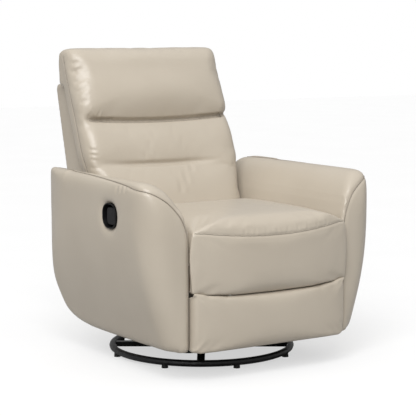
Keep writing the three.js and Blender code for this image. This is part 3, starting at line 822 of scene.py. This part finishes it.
def shape_back(cover, high):
    """Widens the padding above the arms, rounds its sides, and fills out the headrest and rolls."""
    p = positions(cover)
    p[:, 0] *= 1 + (WIDE_BACK / high.x - 1) * smoothstep(*WIDENING_Z, p[:, 2])
    x, y, z = p.T
    half_width = np.interp(z, WIDENING_Z, [high.x, WIDE_BACK])
    depth = y - back_face_y(z)
    front = 1 - smoothstep(0.03, 0.07, depth)
    side = np.clip((np.abs(x) - half_width + 0.052) / 0.052, 0, 1)
    rounded = 0.038 * (1 - np.sqrt(1 - side**2)) * (1 - np.clip(depth / 0.09, 0, 1))
    belly = 0.014 * np.exp(-(((z - 0.868) / 0.055) ** 2)) - 0.012 * np.exp(-(((z - 0.793) / 0.014) ** 2))
    belly *= 1 - 0.85 * (x / half_width) ** 2
    across = 0.010 * (1 - (x / half_width) ** 2)
    end = smoothstep(0.88, 1, -x / half_width) + 0.4 * smoothstep(0.93, 1, x / half_width)
    filled = 0.022 * np.exp(-(((z - CREASE_Z) / 0.014) ** 2))
    filled += 0.010 * np.exp(-(((z - CHANNEL_Z) / 0.02) ** 2))
    fade = 0.012 * smoothstep(0.08, 0.24, x) * np.exp(-(((z - CHANNEL_Z) / 0.022) ** 2))
    p[:, 1] += rounded - front * (belly + across + end * filled + fade)
    p[:, 2] -= sag(x, z)
    set_positions(cover, p)


def inflate_back(cover):
    """Swells the padding, held at its rear edge, along the crease and along the channel."""
    p = positions(cover)
    p[:, 2] += sag(p[:, 0], p[:, 2])
    z = p[:, 2]
    depth = p[:, 1] - back_face_y(z)
    front = 1 - smoothstep(0.03, 0.07, depth)
    crease = np.exp(-(((z - CREASE_Z) / 0.010) ** 2))
    channel = 0.8 * np.exp(-(((z - CHANNEL_Z) / 0.012) ** 2))
    behind = smoothstep(0.05, 0.075, depth)
    held = np.maximum.reduce([crease * front, channel * front, behind])
    inflate(cover, held, 3.0, 0.008, slack=0.002)


def sew_back(cover, foot, top):
    """The crease under the headrest, the channel, and a piped seam up each side."""
    crease_line = draw_in(cover, CREASE_Z, (-0.285, -0.235, 0.275, 0.31), 0.006, 0.016)
    make_piping("back_crease_seam", crease_line, 0.0016, "back")
    draw_in(cover, CHANNEL_Z, (-0.28, -0.10, 0.02, 0.25), 0.0085, 0.009)
    for word, side in SIDES.items():
        heights = np.linspace(foot + 0.05, top - 0.03, 14)
        line = smooth_line([(side * WIDE_BACK, back_face_y(h) + 0.042, h) for h in heights])
        seam = settle(cover, line)
        groove(cover, seam, 0.004, 0.0022)
        make_piping("back_seam_" + word, onto(cover, seam, 0.0002), 0.0013, "back")


def fold_back(cover):
    """Puckers along the left edge, at the crease's ends, in the channel and above the seat."""
    edge = -WIDE_BACK + 0.012
    folds = []
    for h in (0.955, 0.926, 0.892, 0.860, 0.826):
        run = 0.034 + 0.012 * math.sin(37 * h)
        rise = 0.014 * math.sin(23 * h)
        folds.append((edge, h, run, 0.010 + rise, 0.007))
    folds += [(edge, h, 0.030, -0.007, 0.005) for h in (0.672, 0.655, 0.640, 0.612)]
    folds += [(-0.270 + 0.014 * i, CREASE_Z + 0.006, 0.020, 0.034, 0.005) for i in range(3)]
    folds += [(0.255, CREASE_Z, -0.004, 0.028, 0.004), (0.285, CREASE_Z + 0.004, -0.014, 0.030, 0.005)]
    folds += [(x, CHANNEL_Z - 0.008, -0.024, 0.040, 0.008) for x in (-0.080, -0.062)]
    folds += [(x, 0.505 + x, 0.004, 0.055, 0.009) for x in (0.015, 0.044, 0.080)]
    pucker(cover, folds_on_front(cover, folds), 0.0014)


def make_back_cover():
    """One cover over the back cushion and the headrest, drawn in along a crease and a channel."""
    low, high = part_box("back_cushion")
    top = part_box("headrest_cushion")[1].z
    cushion = copy_of("back_cushion", "cushion")
    headrest = copy_of("headrest_cushion", "headrest")
    p = positions(headrest)
    p[p[:, 2] < high.z + 0.008, 2] -= 0.010  # sinks the headrest into the cushion, to fuse them
    set_positions(headrest, p)
    cover = joined("back_cover", cushion, headrest)
    remesh(cover, 0.0065)
    relax(cover, 5)
    shape_back(cover, high)
    remesh(cover, 0.0065)
    relax(cover, 2)
    inflate_back(cover)
    relax(cover, 3)
    x, _, z = positions(cover).T
    relax(cover, 24, where=(np.abs(x) < 0.26) & (z > CREASE_Z + 0.012) & (z < 0.93))
    fit_between(cover, (-WIDE_BACK, None, None), (WIDE_BACK, None, top))
    subdivide(cover)
    sew_back(cover, low.z, top)
    fold_back(cover)
    leather_piece(cover, "back", "back_cushion", "headrest_cushion", fill=0.75)


# ---------------------------------------------------------------- the chair

finish_cad_nodes()
make_camera()
make_stage()
for word, side in SIDES.items():
    make_arm(word, side)
make_footrest_pad(make_seat_cover())
make_rear_skirt()
make_shell()
make_back_cover()
